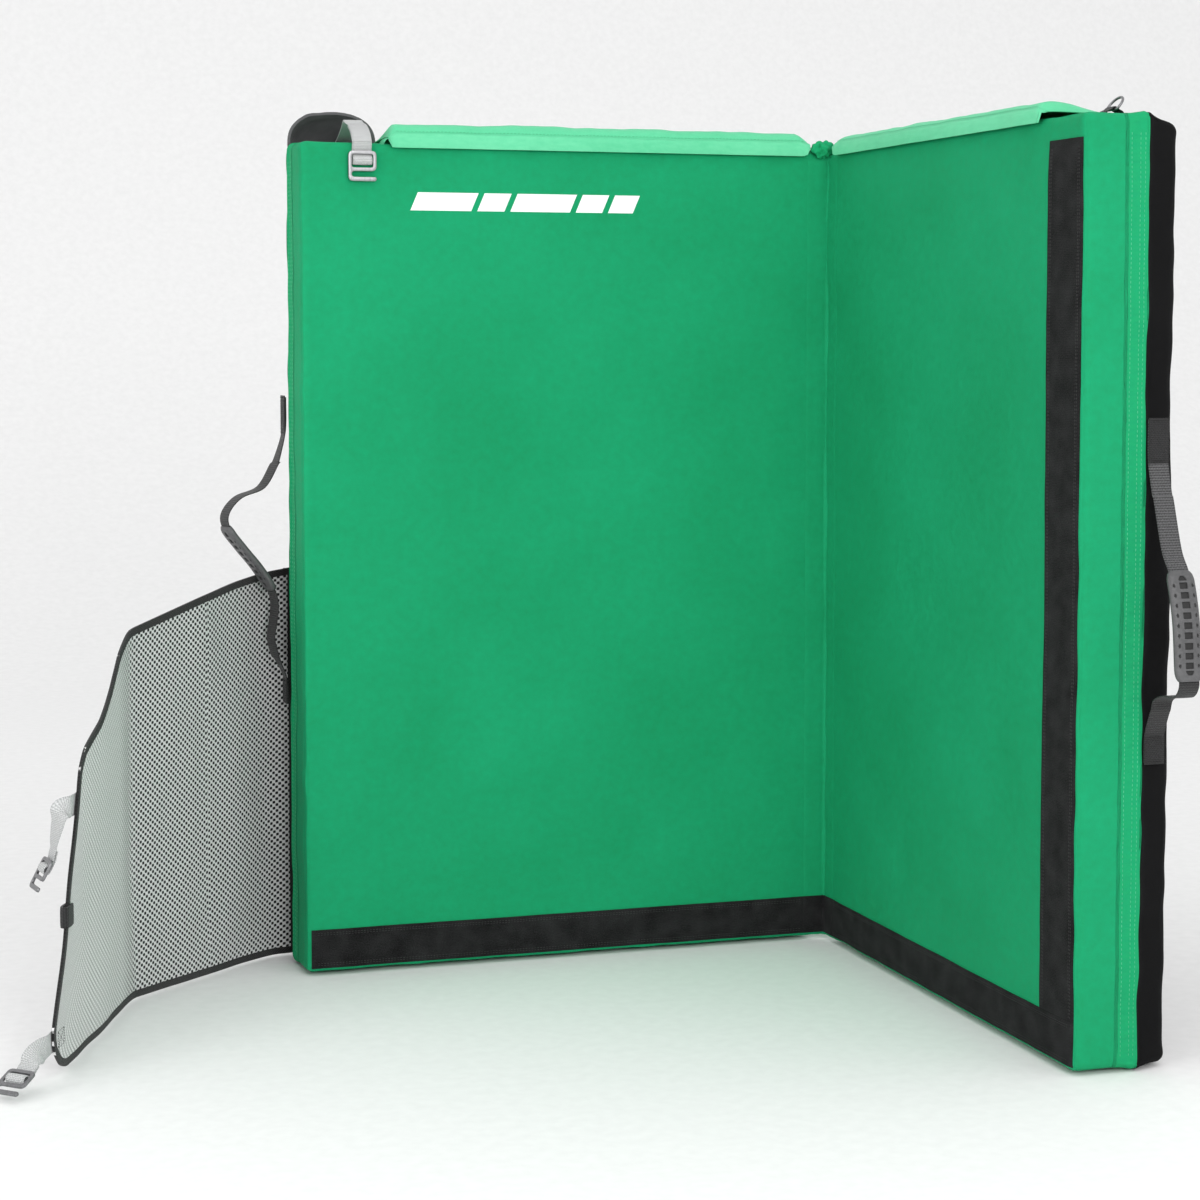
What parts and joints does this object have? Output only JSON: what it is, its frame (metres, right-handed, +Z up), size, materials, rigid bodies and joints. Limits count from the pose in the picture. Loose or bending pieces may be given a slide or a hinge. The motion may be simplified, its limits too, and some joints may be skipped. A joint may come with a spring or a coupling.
{
  "type": "folding crash pad",
  "caption": "Folding foam crash pad standing open on its long edge, with webbing handles, hook-and-loop tapes, shoulder straps and a mesh gear flap that closes with hook buckles.",
  "frame": {"origin": "middle of the footprint's bounding box, on the ground that the long edges stand on", "axes": "+Z up along the fold, +X along the left panel towards the fold, +Y from the left panel's landing face into its foam, and the right panel runs towards -Y from the fold"},
  "size_m": [1.2831, 1.0059, 1.1036],
  "materials": {
    "landing_fabric": "coated woven nylon, matt with a slight sheen",
    "closure_fabric": "bright coated woven nylon, matt",
    "base_fabric": "heavy coated woven nylon, matt",
    "hook_tape": "hook-and-loop pile",
    "light_webbing": "woven nylon webbing",
    "dark_webbing": "ribbed nylon webbing",
    "black_webbing": "woven nylon webbing",
    "shoulder_padding": "padded strap in woven nylon",
    "binding_tape": "folded binding tape",
    "gear_mesh": "open knitted mesh",
    "closed_foam": "closed-cell foam sheet",
    "open_foam": "open-cell foam block",
    "grip_rubber": "moulded, matt",
    "buckle_metal": "satin",
    "buckle_plastic": "moulded, matt"
  },
  "bodies": {
    "left_panel": {"left_landing_cover": "landing_fabric", "left_base_cover": "base_fabric", "left_top_foam": "closed_foam", "left_core_foam": "open_foam", "left_base_foam": "closed_foam", "left_hinge_leaf": "landing_fabric", "left_bottom_strip": "hook_tape", "corner_hood": "base_fabric", "top_strap_root": "light_webbing", "left_handle_anchor_top": "dark_webbing", "left_handle_anchor_bottom": "dark_webbing", "flap_root_tape": "binding_tape", "shoulder_anchor_a_top": "black_webbing", "shoulder_anchor_a_bottom": "black_webbing", "shoulder_anchor_b_top": "black_webbing", "shoulder_anchor_b_bottom": "black_webbing"},
    "right_panel": {"right_landing_cover": "landing_fabric", "right_base_cover": "base_fabric", "right_top_foam": "closed_foam", "right_core_foam": "open_foam", "right_base_foam": "closed_foam", "right_hinge_leaf": "landing_fabric", "right_bottom_strip": "hook_tape", "right_side_strip": "hook_tape", "right_handle_anchor_top": "dark_webbing", "right_handle_anchor_bottom": "dark_webbing", "ring_tab": "black_webbing", "closure_loop_upper": "black_webbing", "closure_loop_lower": "black_webbing"},
    "left_link": {"left_link_flap": "closure_fabric"},
    "right_link": {"right_link_flap": "closure_fabric"},
    "top_strap": {"top_strap": "light_webbing"},
    "top_buckle": {"top_buckle": "buckle_metal"},
    "top_ring": {"top_ring": "buckle_metal"},
    "left_handle": {"left_handle_webbing": "dark_webbing", "left_handle_grip": "grip_rubber"},
    "right_handle": {"right_handle_webbing": "dark_webbing", "right_handle_grip": "grip_rubber"},
    "flap_inner": {"flap_mesh_inner": "gear_mesh", "flap_binding_foot": "binding_tape", "flap_binding_head": "binding_tape"},
    "flap_outer": {"flap_mesh_outer": "gear_mesh", "flap_binding_outer": "binding_tape", "flap_upper_tab": "light_webbing", "flap_lower_tab": "light_webbing", "flap_keeper": "black_webbing"},
    "flap_upper_strap": {"flap_upper_strap": "light_webbing"},
    "flap_upper_buckle": {"flap_upper_buckle": "buckle_metal"},
    "flap_lower_strap": {"flap_lower_strap": "light_webbing"},
    "flap_lower_buckle": {"flap_lower_buckle": "buckle_metal"},
    "shoulder_strap_a": {"shoulder_pad_a": "shoulder_padding", "shoulder_webbing_a": "black_webbing", "ladder_lock_a": "buckle_plastic"},
    "shoulder_strap_b": {"shoulder_pad_b": "shoulder_padding", "shoulder_webbing_b": "black_webbing", "ladder_lock_b": "buckle_plastic"}
  },
  "joints": [
    {"name": "panel_fold", "type": "hinge", "parent": "left_panel", "child": "right_panel", "pos_m": [0.4982, 0.2865, 0.5], "axis": [0, 0, 1], "range_deg": [-88, 90]},
    {"name": "left_link_lift", "type": "hinge", "parent": "left_panel", "child": "left_link", "pos_m": [0.1912, 0.3685, 1.069], "axis": [-1, 0, 0], "range_deg": [0, 150]},
    {"name": "right_link_lift", "type": "hinge", "parent": "right_panel", "child": "right_link", "pos_m": [0.5802, -0.029, 1.069], "axis": [0, 1, 0], "range_deg": [0, 150]},
    {"name": "top_strap_lift", "type": "hinge", "parent": "left_panel", "child": "top_strap", "pos_m": [-0.1308, 0.337, 1.088], "axis": [-1, 0, 0], "range_deg": [0, 150]},
    {"name": "top_buckle_swing", "type": "hinge", "parent": "top_strap", "child": "top_buckle", "pos_m": [-0.1308, 0.2875, 1.053], "axis": [-1, 0, 0], "range_deg": [0, 90]},
    {"name": "top_ring_swing", "type": "hinge", "parent": "right_panel", "child": "top_ring", "pos_m": [0.5802, -0.3425, 1.0712], "axis": [0, -1, 0], "range_deg": [-30, 90]},
    {"name": "left_handle_swing", "type": "hinge", "parent": "left_panel", "child": "left_handle", "pos_m": [-0.2248, 0.3855, 0.53], "axis": [0, 0, 1], "range_deg": [-5, 50]},
    {"name": "right_handle_swing", "type": "hinge", "parent": "right_panel", "child": "right_handle", "pos_m": [0.5972, -0.4365, 0.53], "axis": [0, 0, 1], "range_deg": [-60, 60]},
    {"name": "flap_fold", "type": "hinge", "parent": "left_panel", "child": "flap_inner", "pos_m": [-0.2023, 0.421, 0.25], "axis": [0, 0, 1], "range_deg": [-100, 3]},
    {"name": "flap_crease", "type": "hinge", "parent": "flap_inner", "child": "flap_outer", "pos_m": [-0.4365, 0.2444, 0.23], "axis": [0, 0, 1], "range_deg": [-60, 60]},
    {"name": "flap_upper_strap_swing", "type": "hinge", "parent": "flap_outer", "child": "flap_upper_strap", "pos_m": [-0.53613, 0.0016, 0.28], "axis": [0, 0, 1], "range_deg": [-55, 45]},
    {"name": "flap_upper_buckle_swing", "type": "hinge", "parent": "flap_upper_strap", "child": "flap_upper_buckle", "pos_m": [-0.56188, -0.00201, 0.233], "axis": [0.1392, -0.9903, 0], "range_deg": [-60, 15]},
    {"name": "flap_lower_strap_swing", "type": "hinge", "parent": "flap_outer", "child": "flap_lower_strap", "pos_m": [-0.57692, -0.10089, 0.045], "axis": [0, 0, 1], "range_deg": [-60, 60]},
    {"name": "flap_lower_buckle_swing", "type": "hinge", "parent": "flap_lower_strap", "child": "flap_lower_buckle", "pos_m": [-0.6052, -0.12917, 0.027], "axis": [0.7071, -0.7071, 0], "range_deg": [-60, 14]},
    {"name": "shoulder_swing_a", "type": "hinge", "parent": "left_panel", "child": "shoulder_strap_a", "pos_m": [0.2432, 0.4315, 0.6], "axis": [0, 0, 1], "range_deg": [-25, 25]},
    {"name": "shoulder_swing_b", "type": "hinge", "parent": "left_panel", "child": "shoulder_strap_b", "pos_m": [0.0432, 0.4315, 0.6], "axis": [0, 0, 1], "range_deg": [-25, 25]}
  ]
}
